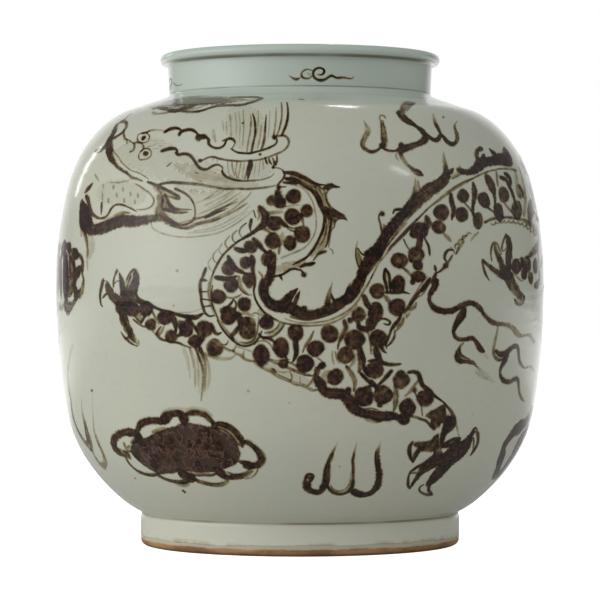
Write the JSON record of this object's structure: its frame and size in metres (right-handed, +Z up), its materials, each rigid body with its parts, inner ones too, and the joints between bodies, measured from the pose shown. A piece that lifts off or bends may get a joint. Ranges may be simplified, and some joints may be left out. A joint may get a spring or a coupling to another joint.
{
  "type": "storage jar",
  "caption": "Large round-bellied glazed stoneware jar with a short neck, rolled lip and low foot band, painted in iron brown.",
  "frame": {"origin": "centre of the foot's resting plane, on the jar's axis", "axes": "+Z up along the jar's axis; the painted dragon's head and neck face -Y"},
  "size_m": [0.389, 0.389, 0.39],
  "materials": {
    "bare_clay": "bare fired stoneware, burnt orange brown, matt and slightly gritty",
    "body_clay": "fired buff-grey stoneware under the glaze, matt",
    "slip": "fired luting slip inside the wall, matt",
    "inner_glaze": "thin glossy grey-green glaze with throwing rings",
    "outer_glaze": "glossy pale grey-green glaze over iron-brown brush painting"
  },
  "bodies": {
    "root": {"foot_ring": "bare_clay", "base_slab": "bare_clay", "lower_body": "body_clay", "upper_body": "body_clay", "neck": "body_clay", "base_seam_slip": "slip", "foot_seam_slip": "slip", "belly_seam_slip": "slip", "neck_seam_slip": "slip", "inner_glaze": "inner_glaze", "outer_glaze": "outer_glaze"}
  },
  "joints": []
}
